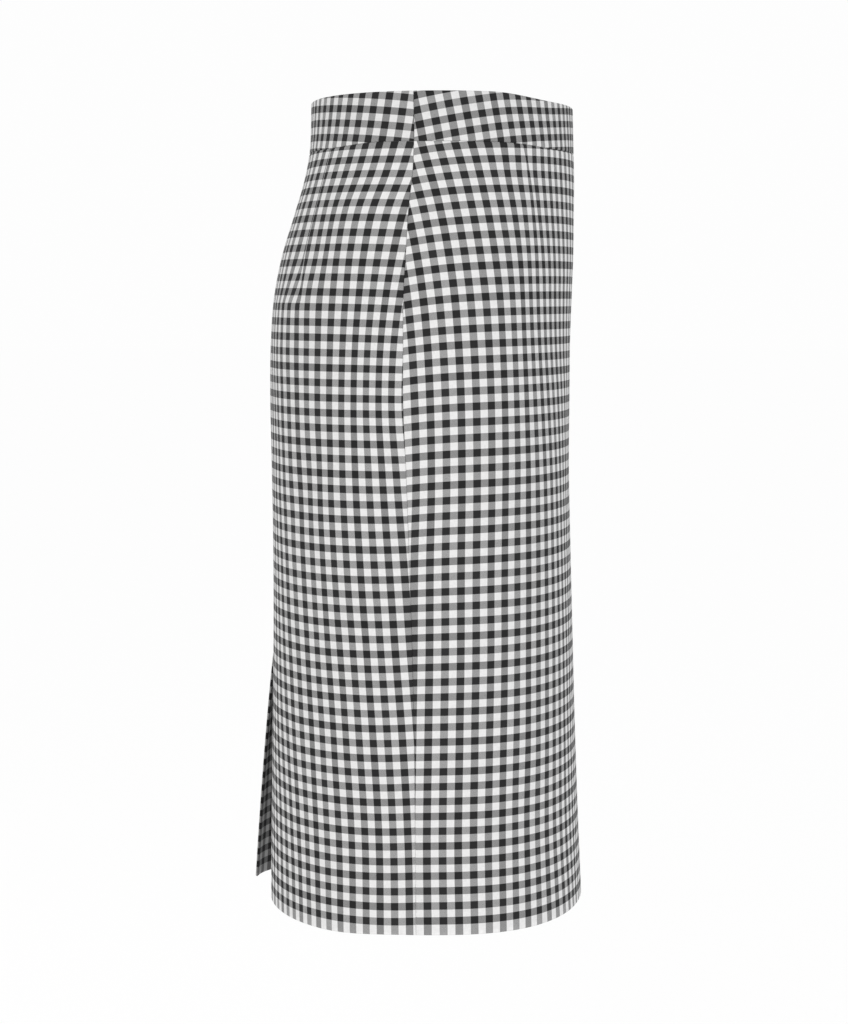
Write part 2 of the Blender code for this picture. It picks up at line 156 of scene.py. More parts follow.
# A waistband piece's check, which is turned against its edges: the column at the side seam, how it moves on
# with the drop, how many lie in a metre beside the seam, the column at the centre line, and the row at the
# seam with its rise.
BandCheck = namedtuple(
    "BandCheck", "column column_a_metre columns_beside centre_column row row_a_metre rise")
FRONT_BAND = BandCheck(-0.55, 14.5, 72.5, -19.5, -0.88, 82.5, 2.75)
BACK_BAND = BandCheck(0.00, -13.6, 77.0, 13.5, -0.03, 83.5, 1.40)
BAND_RISE_REACH = 0.150

# A soft crease from one place to another; both are a side, reaches towards the back and drops. A depth
# under nothing is a ridge.
Crease = namedtuple("Crease", "side reach drop end_reach end_drop width depth")
CREASES = (
    Crease(-1, -0.112, 0.075, -0.124, 0.215, 0.020, 0.0005),
    Crease(-1, -0.070, 0.060, -0.052, 0.150, 0.016, -0.0003),
    Crease(-1, -0.105, 0.300, -0.062, 0.452, 0.034, 0.0007),
    Crease(-1, -0.040, 0.470, -0.118, 0.640, 0.030, 0.0006),
    Crease(-1, -0.014, 0.225, 0.018, 0.330, 0.020, -0.0003),
    Crease(-1, 0.062, 0.055, 0.088, 0.165, 0.022, 0.0004),
    Crease(-1, 0.052, 0.262, 0.132, 0.372, 0.030, 0.0007),
    Crease(-1, 0.020, 0.405, 0.096, 0.560, 0.032, 0.0006),
    Crease(-1, 0.118, 0.480, 0.128, 0.655, 0.020, -0.0005),
    Crease(-1, 0.185, 0.190, 0.162, 0.330, 0.030, 0.0008),
    Crease(1, -0.116, 0.080, -0.128, 0.195, 0.018, 0.0005),
    Crease(1, -0.066, 0.055, -0.058, 0.128, 0.017, -0.0003),
    Crease(1, -0.120, 0.325, -0.074, 0.440, 0.032, 0.0006),
    Crease(1, -0.052, 0.495, -0.130, 0.622, 0.028, 0.0007),
    Crease(1, 0.010, 0.240, -0.016, 0.352, 0.022, -0.0003),
    Crease(1, 0.070, 0.060, 0.092, 0.150, 0.020, 0.0004),
    Crease(1, 0.046, 0.285, 0.118, 0.405, 0.028, 0.0006),
    Crease(1, 0.028, 0.430, 0.088, 0.590, 0.030, 0.0007),
    Crease(1, 0.190, 0.200, 0.170, 0.318, 0.028, 0.0007),
    Crease(1, 0.135, 0.470, 0.112, 0.625, 0.024, 0.0006),
)

# The size of a panel's cells, its finer steps beside an edge and a dart, and the count of its cells across:
# on each side of the dart and, in a back, in the slit's turned edge.
CELL = 0.0040
EDGE_STEPS = (0.0, 0.00005, 0.0002, 0.0005, 0.0009, 0.0014, 0.0022, 0.0034)
DART_STEPS = (0.0007, 0.0015, 0.0030)
FRONT_CELLS = (28, 28)
BACK_CELLS = (26, 22, 7)
OUTLINE_SAMPLES = 721
SLOPE_STEP = 0.0005
SAG_STEP = 0.003

# The groove and the round edges at a seam, and half of the opening beside the slider's neck in the waistband,
# at the top edge and at the waist seam.
SEAM_DEPTH = 0.00035
SEAM_WIDTH = 0.0018
SEAM_ROUND = 0.0003
SEAM_EDGE_GAP = 0.00006
OPENING_TOP = 0.0011
OPENING_BOTTOM = 0.0004

# The concealed zip behind the left side seam: two tapes, and a coil on their inner side.
ZIP_TOP = 0.003
ZIP_END = 0.205
TAPE_INNER_EDGE = 0.0013
TAPE_WIDTH = 0.012
TAPE_THICKNESS = 0.0007
TAPE_STEP_LENGTH = 0.008
TAPE_CLEARANCE = 0.00065
TAPE_CELLS = 8
COIL_TOP = 0.0060
COIL_END = 0.1980
COIL_PITCH = 0.0012
COIL_RADIUS = 0.00075
COIL_WIRE = 0.00026
COIL_OFFSET = 0.0010
COIL_TURN_POINTS = 10
COIL_WIRE_SIDES = 6

# The gingham, with lengths in repeats of its check. Dark stripes lose some light, not all of them as much,
# and streaks run along the yarns.
WHITE_YARN = (0.665, 0.665, 0.665)
BLACK_YARN = (0.030, 0.030, 0.031)
HALF_REPEAT = 0.5
STRIPE_EDGE = 0.25
STRIPE_BLUR = 0.012
STRIPE_SHADE = 0.305
STRIPE_SWING = 0.10
STRIPE_BEAT = 2.618
YARNS_A_CHECK = 26.0
YARN_BLEND = 0.35
YARN_SHARES = (0.32, 0.68)
YARN_RELIEF = 0.00008
STREAK_SCALES = {"X": (60.0, 3.0, 1.0), "Y": (3.0, 60.0, 1.0)}
STREAK_SPAN = (0.25, 0.75)
STREAK_SWING = 0.06
CLOTH_ROUGHNESS = 0.85
CLOTH_SPECULAR = 0.20
# Painted shade: the cloth's inner faces are a much darker copy of the gingham, for the shadow inside the
# skirt.
INSIDE_PAINTED_SHADE = 0.45
# Painted shade: the waistband is a slightly darker copy of the gingham.
BAND_PAINTED_SHADE = 0.955

# The zip's woven tape, in metres, whose colour is darker where its relief is low: painted shade in the
# weave's hollows.
TAPE_RIB = 0.0006
TAPE_CORD = 0.0009
TAPE_RELIEF = 0.00006
TAPE_PAINTED_SHADE_COLOUR = (0.010, 0.010, 0.011)
TAPE_HIGH_COLOUR = (0.024, 0.024, 0.026)
TAPE_ROUGHNESS = 0.80

# A solid finish has a fine grain, along which its colour and its roughness change a little.
Finish = namedtuple("Finish", "name colour worn_colour roughness metallic grains_a_metre relief")
NYLON = Finish("zip_nylon", (0.014, 0.014, 0.015), (0.022, 0.022, 0.024), 0.42, 0.0, 900.0, 0.00002)
ENAMEL = Finish("zip_enamel", (0.012, 0.012, 0.013), (0.030, 0.030, 0.032), 0.30, 0.6, 700.0, 0.00001)
WORN_SPAN = (0.35, 0.75)
ROUGH_SPAN = (0.3, 0.7)
SMOOTHER = 0.06
ROUGHER = 0.08

# The camera, the pale floor and backdrop, and the two soft lamps on the side that the photograph shows.
CAMERA_PLACE = (-2.05, 0.0154, -0.1492)
CAMERA_TILT = math.radians(5.172)
CAMERA_LENS = 81.95
CAMERA_SENSOR = 36.0
CAMERA_NEAR = 0.05
CAMERA_FAR = 50.0
FLOOR_HEIGHT = -1.2
FLOOR_RADIUS = 60.0
FLOOR_SIDES = 96
FLOOR_COLOUR = (0.50, 0.50, 0.50, 1.0)
FLOOR_GLOW_COLOUR = (1.0, 1.0, 1.0, 1.0)
FLOOR_GLOW = 0.49
BACKDROP_COLOUR = (0.985, 0.985, 0.985, 1.0)
Lamp = namedtuple("Lamp", "name place target size power colour")
LAMPS = (
    Lamp("front_light", (-3.0, -0.9, -0.7), (0.0, 0.0, -0.36), 1.6, 17.6, (0.97, 0.975, 1.0)),
    Lamp("back_light", (-2.9, 0.9, 0.3), (0.0, 0.0, -0.33), 1.6, 17.8, (1.0, 0.962, 0.915)),
)


def curve_through(drops, values, drop):
    """A smooth curve through a table's values, at any drop."""
    slopes = np.gradient(values, drops)
    row = np.clip(np.searchsorted(drops, drop) - 1, 0, len(drops) - 2)
    span = drops[row + 1] - drops[row]
    t = (drop - drops[row]) / span
    start = (1 + 2 * t) * (1 - t) ** 2 * values[row] + t * (1 - t) ** 2 * span * slopes[row]
    end = t * t * (3 - 2 * t) * values[row + 1] - t * t * (1 - t) * span * slopes[row + 1]
    return start + end


def from_table(table, name, drop):
    drops = np.array([row.drop for row in table])
    values = np.array([getattr(row, name) for row in table])
    return curve_through(drops, values, drop)


class Outline:
    """Half of the skirt's plan outline at one drop, from the centre front to the centre back."""

    def __init__(self, drop):
        front = from_table(SECTIONS, "front", drop)
        back = from_table(SECTIONS, "back", drop)
        breadth = from_table(SECTIONS, "half_breadth", drop)
        front_side = from_table(SECTIONS, "front_side", drop)
        back_side = from_table(SECTIONS, "back_side", drop)
        turn = np.linspace(0, math.pi, OUTLINE_SAMPLES)
        cosine = np.cos(turn)
        across = np.where(cosine > 0, 1.0, 2 / from_table(SECTIONS, "back_face", drop))
        sides = np.where(cosine > 0, front_side, back_side)
        self.centre = (back - front) / 2
        self.reach = (back + front) / 2
        self.x = breadth * np.sin(turn) ** across
        self.y = self.centre - self.reach * np.sign(cosine) * np.abs(cosine) ** (2 / sides)
        self.x[-1] = 0.0
        steps = np.hypot(np.diff(self.x), np.diff(self.y))
        self.arc = np.concatenate([[0.0], np.cumsum(steps)])
        self.length = self.arc[-1]
        self.widest = int(np.argmax(self.x))
        self.seam_arc = float(np.interp(from_table(SECTIONS, "seam", drop), self.y, self.arc))

    def arc_at_x(self, x, at_front):
        """The arc where the outline is x to the side, on its front or its back."""
        if at_front:
            return float(np.interp(x, self.x[:self.widest], self.arc[:self.widest]))
        return float(np.interp(x, self.x[self.widest:][::-1], self.arc[self.widest:][::-1]))


OUTLINES = {}


def outline_at(drop):
    key = round(float(drop), 6)
    if key not in OUTLINES:
        OUTLINES[key] = Outline(key)
    return OUTLINES[key]


def smooth_step(value):
    value = np.clip(value, 0.0, 1.0)
    return value * value * (3 - 2 * value)


def slit_progress(drop):
    """0 at the slit's top and above, 1 at the hem."""
    return float(np.clip((drop - SLIT_TOP) / (LENGTH - SLIT_TOP), 0.0, 1.0))


def slit_half_width(drop):
    return SLIT_HALF_WIDTH * slit_progress(drop) ** SLIT_OPENS_BY


def within(value, span):
    return smooth_step((value - span[0]) / (span[1] - span[0]))


def edge_sag(forward, drop):
    """How far the waist seam and the hem hang lower; forward is 1 at the centre front, -1 at the back."""
    seam_share = within(drop, (0.0, BAND_HEIGHT)) * (1 - within(drop, (BAND_HEIGHT, WAIST_SEAM_END)))
    seam_sag = WAIST_SEAM_SAG * within(np.abs(forward), WAIST_SEAM_SPAN) * seam_share
    return seam_sag + HEM_SAG * within(-forward, HEM_SAG_SPAN) * within(drop, (HEM_SAG_START, LENGTH))


def edge_lift(forward, drop):
    """How far a point is raised or lowered as the edges curve."""
    dip = WAIST_DIP * within(forward, WAIST_DIP_SPAN) * max(1 - drop / BAND_HEIGHT, 0.0)
    return -dip - edge_sag(forward, drop)


def skin_row(side, arcs, drop):
    """Points of the outer face at one drop; side is +1 on the wearer's left and -1 on the right."""
    outline = outline_at(drop)
    x = np.interp(arcs, outline.arc, outline.x)
    y = np.interp(arcs, outline.arc, outline.y)
    z = TOP - drop + edge_lift((outline.centre - y) / outline.reach, drop)
    opened = slit_progress(drop)
    if side > 0 and opened > 0:
        from_edge = outline.length - slit_half_width(drop) - arcs
        swing = opened ** FLAP_SWINGS_BY * (1 - smooth_step(from_edge / FLAP_REACH))
        y = y + FLAP_FLARE * swing
        z = z + FLAP_LIFT * swing * opened
    return np.stack([side * x, y, z], axis=-1)


def sag_row(outline, arcs, drop):
    """How far the cloth hangs lower along one row."""
    return edge_sag((outline.centre - np.interp(arcs, outline.arc, outline.y)) / outline.reach, drop)


def normal_row(side, arcs, drop):
    """Outward normals of the outer face at one drop, from its slopes."""
    arcs = np.clip(arcs, SLOPE_STEP, outline_at(drop).length - SLOPE_STEP)
    along = skin_row(side, arcs + SLOPE_STEP, drop) - skin_row(side, arcs - SLOPE_STEP, drop)
    above = min(max(drop - SLOPE_STEP, 0.0), LENGTH - 2 * SLOPE_STEP)
    down = skin_row(side, arcs, above + 2 * SLOPE_STEP) - skin_row(side, arcs, above)
    normal = np.cross(down, along) * side
    return normal / np.linalg.norm(normal, axis=-1, keepdims=True)


def dart_run(dart, drop):
    """How far down the dart a drop is: 0 at the waist seam and above, 1 at the dart's tip and below."""
    return min(max((drop - BAND_HEIGHT) / (dart.tip_drop - BAND_HEIGHT), 0.0), 1.0)


def dart_arc(dart, drop, at_front):
    """Where the dart's line, or the column that carries it on to the hem, crosses this drop."""
    outline = outline_at(drop)
    if drop <= dart.tip_drop:
        x = dart.at_waist + dart_run(dart, drop) * (dart.at_tip - dart.at_waist)
        return outline.arc_at_x(x, at_front)
    tip = outline_at(dart.tip_drop)
    tip_arc = tip.arc_at_x(dart.at_tip, at_front)
    if at_front:
        return tip_arc / tip.seam_arc * outline.seam_arc
    share = (tip.length - tip_arc) / (tip.length - tip.seam_arc)
    return outline.length - share * (outline.length - outline.seam_arc)


def dart_strength(dart, drop):
    """1 at the waist seam, 0 at the dart's tip and below."""
    return 1 - dart_run(dart, drop) ** dart.fade


def dart_spread(dart, drop):
    """Half of the breadth in which the check closes up beside the dart; it grows towards the tip."""
    return DART_SPREAD + (DART_TIP_SPREAD - DART_SPREAD) * (1 - dart_strength(dart, drop))


def even_steps(start, end, size):
    """Places from start to end about a cell apart, both ends included."""
    return np.linspace(start, end, max(int(round(abs(end - start) / size)), 1) + 1)


def side_gap(side, drop, is_band):
    """Half of the gap at a side seam; in the waistband the left one opens for the slider's neck."""
    if side > 0 and is_band:
        return OPENING_TOP + drop / BAND_HEIGHT * (OPENING_BOTTOM - OPENING_TOP)
    return SEAM_EDGE_GAP / 2


def before_place(place, steps):
    """Places that come closer to a place and stop at its first step; the last step is left out."""
    return [place - step for step in steps[-2::-1]]


def after_place(place, steps):
    """Places that leave a place from its first step on; the last step is left out."""
    return [place + step for step in steps[:-1]]


def front_arcs(side, drop, is_band):
    """Arcs of the front's columns from the centre front to the side seam, finer at the dart and the seam."""
    outline = outline_at(drop)
    dart = dart_arc(FRONT_DART, drop, True)
    edge = outline.seam_arc - side_gap(side, drop, is_band)
    centre = np.linspace(0.0, dart - DART_STEPS[-1], FRONT_CELLS[0] + 1)
    beside = np.linspace(dart + DART_STEPS[-1], edge - EDGE_STEPS[-1], FRONT_CELLS[1] + 1)
    before = before_place(dart, DART_STEPS)
    after = after_place(dart, DART_STEPS)
    return np.concatenate([centre, before, [dart], after, beside, before_place(edge, EDGE_STEPS)])


def back_arcs(side, drop, is_band):
    """Arcs of the back's columns from the side seam to the centre back or the slit's edge."""
    outline = outline_at(drop)
    seam = outline.seam_arc + side_gap(side, drop, is_band)
    edge = outline.length
    if not is_band:
        edge -= SEAM_EDGE_GAP / 2 + slit_half_width(drop)
    turn = edge - SLIT_TURN
    dart = dart_arc(BACK_DART, drop, False)
    dart = min(dart, turn - SLIT_TURN) if drop > SLIT_TOP else dart
    side_edge = after_place(seam, EDGE_STEPS)
    beside = np.linspace(seam + EDGE_STEPS[-1], dart - DART_STEPS[-1], BACK_CELLS[0] + 1)
    before = before_place(dart, DART_STEPS)
    after = after_place(dart, DART_STEPS)
    centre = np.linspace(dart + DART_STEPS[-1], turn, BACK_CELLS[1] + 1)
    turned = np.linspace(turn, edge - EDGE_STEPS[-1], BACK_CELLS[2] + 1)[1:]
    centre_edge = before_place(edge, EDGE_STEPS)
    return np.concatenate([side_edge, beside, before, [dart], after, centre, turned, centre_edge])


def crease_depth(side, reach, drop):
    """How far the cloth is drawn in by the creases, at reaches towards the back from a side seam."""
    depth = np.zeros(len(reach))
    for crease in CREASES:
        if crease.side != side:
            continue
        run = np.array([crease.end_reach - crease.reach, crease.end_drop - crease.drop])
        length = np.linalg.norm(run)
        away = np.stack([reach - crease.reach, np.full(len(reach), drop - crease.drop)], axis=1)
        along = away @ run / length ** 2
        across = (away[:, 0] * run[1] - away[:, 1] * run[0]) / length
        ends = np.clip(4 * along * (1 - along), 0.0, 1.0)
        form = np.clip(1 - (across / crease.width) ** 2, 0.0, 1.0) ** 2
        depth += crease.depth * smooth_step(ends) * form
    return depth


def edged_drops(top, bottom, marks=()):
    """Drops of a piece's rows, finer at both of its edges and at the marks."""
    start = [top + step for step in EDGE_STEPS]
    end = [bottom - step for step in EDGE_STEPS[::-1]]
    stops = [start[-1], *marks, end[0]]
    middle = []
    for low, high in zip(stops[:-1], stops[1:]):
        middle.extend(even_steps(low, high, CELL)[1:])
    return np.array(start + middle[:-1] + end)


def front_columns(drop, reach):
    """The check's columns in the skirt's front, at a reach from its side seam towards the centre front."""
    outline = outline_at(drop)
    seam = from_table(COLUMNS, "front_seam", drop)
    taken = FRONT_DART.checks * dart_strength(FRONT_DART, drop)
    past_dart = reach - outline.seam_arc + dart_arc(FRONT_DART, drop, True)
    spread = dart_spread(FRONT_DART, drop)
    counts = [0.0] + [from_table(COLUMNS, name, drop) for name in ("front_50", "front_100", "front_160")]
    places = np.array([0.0, *FRONT_PLACES, outline.seam_arc])
    counts = np.array(counts + [seam - FRONT_CENTRE_COLUMN - taken])
    return seam - curve_through(places, counts, reach) - taken * within(past_dart, (-spread, spread))


def back_columns(drop, reach):
    """The check's columns in a skirt back, at a reach from its side seam towards the centre back."""
    outline = outline_at(drop)
    seam = from_table(COLUMNS, "back_seam", drop)
    taken = BACK_DART.checks * dart_strength(BACK_DART, drop)
    past_dart = reach + outline.seam_arc - dart_arc(BACK_DART, drop, False)
    spread = dart_spread(BACK_DART, drop)
    counts = [0.0] + [from_table(COLUMNS, name, drop) for name in ("back_60", "back_100", "back_140")]
    places = np.array([0.0, *BACK_PLACES, outline.length - outline.seam_arc - slit_half_width(drop)])
    counts = np.array(counts + [BACK_CENTRE_COLUMN - taken - seam])
    return seam + curve_through(places, counts, reach) + taken * within(past_dart, (-spread, spread))


def climb(rise, reach, fade):
    return rise * (1 - np.exp(-reach / fade))


def front_rows(drop, reach):
    rise = from_table(ROWS, "front_rise", drop)
    return from_table(ROWS, "front_seam", drop) + climb(rise, reach, FRONT_RISE_REACH)


def back_rows(drop, reach):
    rise = from_table(ROWS, "back_rise", drop)
    return from_table(ROWS, "back_seam", drop) + climb(rise, reach, BACK_RISE_REACH)


def ended_rows(rows, drop, last_row):
    """The check's rows, which end at the hem in a light one, with painted shade on the hem's very edge."""
    shaded = HEM_EDGE_PAINTED_SHADE * max(1 - (LENGTH - drop) / HEM_EDGE, 0.0)
    return np.minimum(rows, last_row + shaded)


def band_columns(drop, reach, check, full):
    """The check's columns in a waistband piece; full is the reach of its centre line."""
    seam = check.column + check.column_a_metre * drop
    towards = math.copysign(1.0, check.centre_column)
    short = check.centre_column - seam - towards * check.columns_beside * full
    return seam + towards * check.columns_beside * reach + short * (reach / full) ** 2


def band_rows(drop, reach, check):
    return check.row + check.row_a_metre * drop + climb(check.rise, reach, BAND_RISE_REACH)


def sagged(count, drop, sag, *rest):
    """A count of checks on cloth that hangs lower by the sag, from the counts at two drops."""
    here = count(drop, *rest)
    return here + (count(drop + SAG_STEP, *rest) - here) * sag / SAG_STEP


def edge_round(distance, half):
    """How full a wall is beside its edge, from 0 at the edge to 1 where it has its whole thickness."""
    inside = np.clip(distance / half, 0.0, 1.0)
    return np.sqrt(np.clip(1 - (1 - inside) ** 2, 0.0, 1.0))


def dip(distance, width):
    """A soft groove's cross-section: 1 on its line and 0 beyond its width."""
    return 1 - smooth_step(np.abs(distance) / width)


class Grid:
    def __init__(self, rows, columns):
        self.outer = np.zeros((rows, columns, 3))
        self.inner = np.zeros((rows, columns, 3))
        self.check = np.zeros((rows, columns, 2))

    def set_wall(self, row, points, normals, half, full, sunk):
        """Places both faces of one row; full thins the wall at its edges, and sunk moves it inwards."""
        outer_depth = half * (1 - full) + sunk
        inner_depth = half * (1 + full) + sunk
        self.outer[row] = points - normals * outer_depth[:, None]
        self.inner[row] = points - normals * inner_depth[:, None]


def joined(right, left, centre_column, from_centre):
    """A whole panel from its two halves, whose rows run from or to the centre line."""
    columns = right.outer.shape[1]
    whole = Grid(right.outer.shape[0], 2 * columns - 1)
    left.check[..., 0] = 2 * centre_column - left.check[..., 0]
    for name in ("outer", "inner", "check"):
        first = getattr(right, name)
        second = getattr(left, name)
        if from_centre:
            parts = [first[:, :0:-1], second]
        else:
            parts = [first[:, :-1], second[:, ::-1]]
        setattr(whole, name, np.concatenate(parts, axis=1))
    return whole


def hem_share(drop):
    """1 where the hem is turned up, 0 above it."""
    return smooth_step((drop - (LENGTH - HEM_TURN - TURN_STEP)) / TURN_STEP)


def wall_half(drop, is_band, turned):
    """Half of the wall's thickness, which is double in the waistband, the hem and the slit's turned edge."""
    folded = np.ones(len(turned)) if is_band else np.maximum(hem_share(drop), turned)
    return (CLOTH + (FOLDED_CLOTH - CLOTH) * folded) / 2


def rim_distances(drops, drop, is_band):
    """How far a row lies from the waist seam, and from the piece's free rim at the top edge or the hem."""
    below_first = drop - drops[0]
    above_last = drops[-1] - drop
    return (above_last, below_first) if is_band else (below_first, above_last)


def seam_groove(distances):
    return SEAM_DEPTH * np.max([dip(distance, SEAM_WIDTH) for distance in distances], axis=0)


def dart_groove(dart, drop, arcs, at_front):
    from_dart = arcs - dart_arc(dart, drop, at_front)
    return DART_DEPTH * dart_strength(dart, drop) ** 0.5 * dip(from_dart, DART_WIDTH)


def front_half(side, drops, is_band):
    """Half of the front, from the centre front to one side seam."""
    columns = len(front_arcs(side, drops[0], is_band))
    grid = Grid(len(drops), columns)
    for row, drop in enumerate(drops):
        arcs = front_arcs(side, drop, is_band)
        outline = outline_at(drop)
        reach = outline.seam_arc - arcs
        from_side = arcs[-1] - arcs
        waist_rim, free_rim = rim_distances(drops, drop, is_band)
        half = wall_half(drop, is_band, np.zeros(columns))
        full = np.minimum(edge_round(from_side, SEAM_ROUND), edge_round(waist_rim, SEAM_ROUND))
        full = np.minimum(full, edge_round(free_rim, half))
        sunk = seam_groove([from_side, np.full(columns, waist_rim)])
        if not is_band:
            sunk += dart_groove(FRONT_DART, drop, arcs, True)
            sunk += crease_depth(side, -reach, drop)
        grid.set_wall(row, skin_row(side, arcs, drop), normal_row(side, arcs, drop), half, full, sunk)
        sag = sag_row(outline, arcs, drop)
        if is_band:
            grid.check[row, :, 0] = sagged(band_columns, drop, sag, reach, FRONT_BAND, outline.seam_arc)
            grid.check[row, :, 1] = sagged(band_rows, drop, sag, reach, FRONT_BAND)
        else:
            grid.check[row, :, 0] = sagged(front_columns, drop, sag, reach)
            grid.check[row, :, 1] = ended_rows(sagged(front_rows, drop, sag, reach), drop, FRONT_HEM_ROW)
    grid.outer[:, 0, 0] = 0.0
    grid.inner[:, 0, 0] = 0.0
    return grid


def back_half(side, drops, is_band):
    """Half of the back, from one side seam to the centre back."""
    columns = len(back_arcs(side, drops[0], is_band))
    grid = Grid(len(drops), columns)
    for row, drop in enumerate(drops):
        arcs = back_arcs(side, drop, is_band)
        outline = outline_at(drop)
        reach = arcs - outline.seam_arc
        from_side = arcs - arcs[0]
        from_centre = arcs[-1] - arcs
        waist_rim, free_rim = rim_distances(drops, drop, is_band)
        turned = (1 - smooth_step((from_centre - SLIT_TURN) / TURN_STEP)) * (drop > SLIT_TOP)
        half = wall_half(drop, is_band, turned)
        full = np.minimum(edge_round(from_side, SEAM_ROUND), edge_round(waist_rim, SEAM_ROUND))
        full = np.minimum(full, edge_round(free_rim, half))
        grooves = [from_side, np.full(columns, waist_rim)]
        if not is_band:
            in_slit = smooth_step((drop - SLIT_TOP) / TURN_STEP)
            centre_round = SEAM_ROUND + (half - SEAM_ROUND) * in_slit
            full = np.minimum(full, edge_round(from_centre, centre_round))
            grooves.append(from_centre + SEAM_WIDTH * in_slit)
        sunk = seam_groove(grooves)
        if not is_band:
            sunk += dart_groove(BACK_DART, drop, arcs, False)
            sunk += crease_depth(side, reach, drop)
        grid.set_wall(row, skin_row(side, arcs, drop), normal_row(side, arcs, drop), half, full, sunk)
        full_reach = outline.length - outline.seam_arc
        sag = sag_row(outline, arcs, drop)
        if is_band:
            grid.check[row, :, 0] = sagged(band_columns, drop, sag, reach, BACK_BAND, full_reach)
            grid.check[row, :, 1] = sagged(band_rows, drop, sag, reach, BACK_BAND)
        else:
            grid.check[row, :, 0] = sagged(back_columns, drop, sag, reach)
            grid.check[row, :, 1] = ended_rows(sagged(back_rows, drop, sag, reach), drop, BACK_HEM_ROW)
    if is_band:
        grid.outer[:, -1, 0] = 0.0
        grid.inner[:, -1, 0] = 0.0
    return grid


def grid_faces(rows, columns, offset, flip):
    """Quads of one face of a grid, as vertex indices."""
    i, j = np.meshgrid(np.arange(rows - 1), np.arange(columns - 1), indexing="ij")
    a = (i * columns + j).ravel() + offset
    quads = np.stack([a, a + 1, a + columns + 1, a + columns], axis=1)
    return quads[:, ::-1] if flip else quads


def rim_faces(rows, columns, flip):
    """Quads that join the two faces of a grid along its four edges."""
    top = [(0, j) for j in range(columns - 1)]
    right = [(i, columns - 1) for i in range(rows - 1)]
    bottom = [(rows - 1, j) for j in range(columns - 1, 0, -1)]
    left = [(i, 0) for i in range(rows - 1, 0, -1)]
    ring = np.array([i * columns + j for i, j in top + right + bottom + left])
    following = np.roll(ring, -1)
    count = rows * columns
    quads = np.stack([following, ring, ring + count, following + count], axis=1)
    return quads[:, ::-1] if flip else quads


def cloth_piece(name, grid, outward_flip, finishes, map_name="checks"):
    """A closed, smooth shell from a grid, with its check or its own sizes in its UV map.

    The finishes are the outer face's and the inner face's.
    """
    rows, columns = grid.outer.shape[:2]
    count = rows * columns
    points = np.concatenate([grid.outer.reshape(-1, 3), grid.inner.reshape(-1, 3)])
    outer = grid_faces(rows, columns, 0, outward_flip)
    inner = grid_faces(rows, columns, count, not outward_flip)
    rim = rim_faces(rows, columns, outward_flip)
    faces = np.concatenate([outer, inner, rim])
    mesh = bpy.data.meshes.new(name)
    mesh.from_pydata(points.tolist(), [], faces.tolist())
    mesh.update()
    mesh.shade_smooth()
    corner = faces.ravel() % count
    layer = mesh.uv_layers.new(name=map_name)
    layer.data.foreach_set("uv", grid.check.reshape(count, 2)[corner].astype(np.float32).ravel())
    made = bpy.data.objects.new(name, mesh)
    bpy.context.scene.collection.objects.link(made)
    for finish in finishes:
        mesh.materials.append(finish)
    material_index = np.zeros(len(faces), dtype=np.int32)
    material_index[len(outer):len(outer) + len(inner)] = len(finishes) - 1
    mesh.polygons.foreach_set("material_index", material_index)
    return made


def opaque(colour):
    return (*colour, 1.0)


class Shader:
    """Adds nodes to a material and joins them, with short calls for sums."""

    def __init__(self, name):
        self.material = bpy.data.materials.new(name)
        self.material.use_nodes = True
        self.tree = self.material.node_tree
        self.surface = self.tree.nodes["Principled BSDF"]

    def node(self, kind, **settings):
        made = self.tree.nodes.new(kind)
        for key, value in settings.items():
            setattr(made, key, value)
        return made

    def link(self, source, target):
        self.tree.links.new(source, target)

    def put(self, socket, value):
        if isinstance(value, bpy.types.NodeSocket):
            self.link(value, socket)
        else:
            socket.default_value = value

    def math(self, operation, first, second=0.0, third=0.0):
        made = self.node("ShaderNodeMath", operation=operation)
        for socket, value in zip(made.inputs, (first, second, third)):
            self.put(socket, value)
        return made.outputs[0]

    def mix(self, share, first, second):
        made = self.node("ShaderNodeMix", data_type="RGBA")
        self.put(made.inputs["Factor"], share)
        self.put(made.inputs["A"], first)
        self.put(made.inputs["B"], second)
        return made.outputs["Result"]

    def ramp(self, value, low, high, to_low=0.0, to_high=1.0):
        made = self.node("ShaderNodeMapRange", interpolation_type="SMOOTHSTEP")
        self.put(made.inputs["Value"], value)
        made.inputs["From Min"].default_value = low
        made.inputs["From Max"].default_value = high
        made.inputs["To Min"].default_value = to_low
        made.inputs["To Max"].default_value = to_high
        return made.outputs["Result"]

    def noise(self, vector, scale):
        made = self.node("ShaderNodeTexNoise")
        self.link(vector, made.inputs["Vector"])
        made.inputs["Scale"].default_value = scale
        return made.outputs["Fac"]

    def bump(self, height, distance):
        made = self.node("ShaderNodeBump")
        made.inputs["Distance"].default_value = distance
        self.link(height, made.inputs["Height"])
        self.link(made.outputs["Normal"], self.surface.inputs["Normal"])


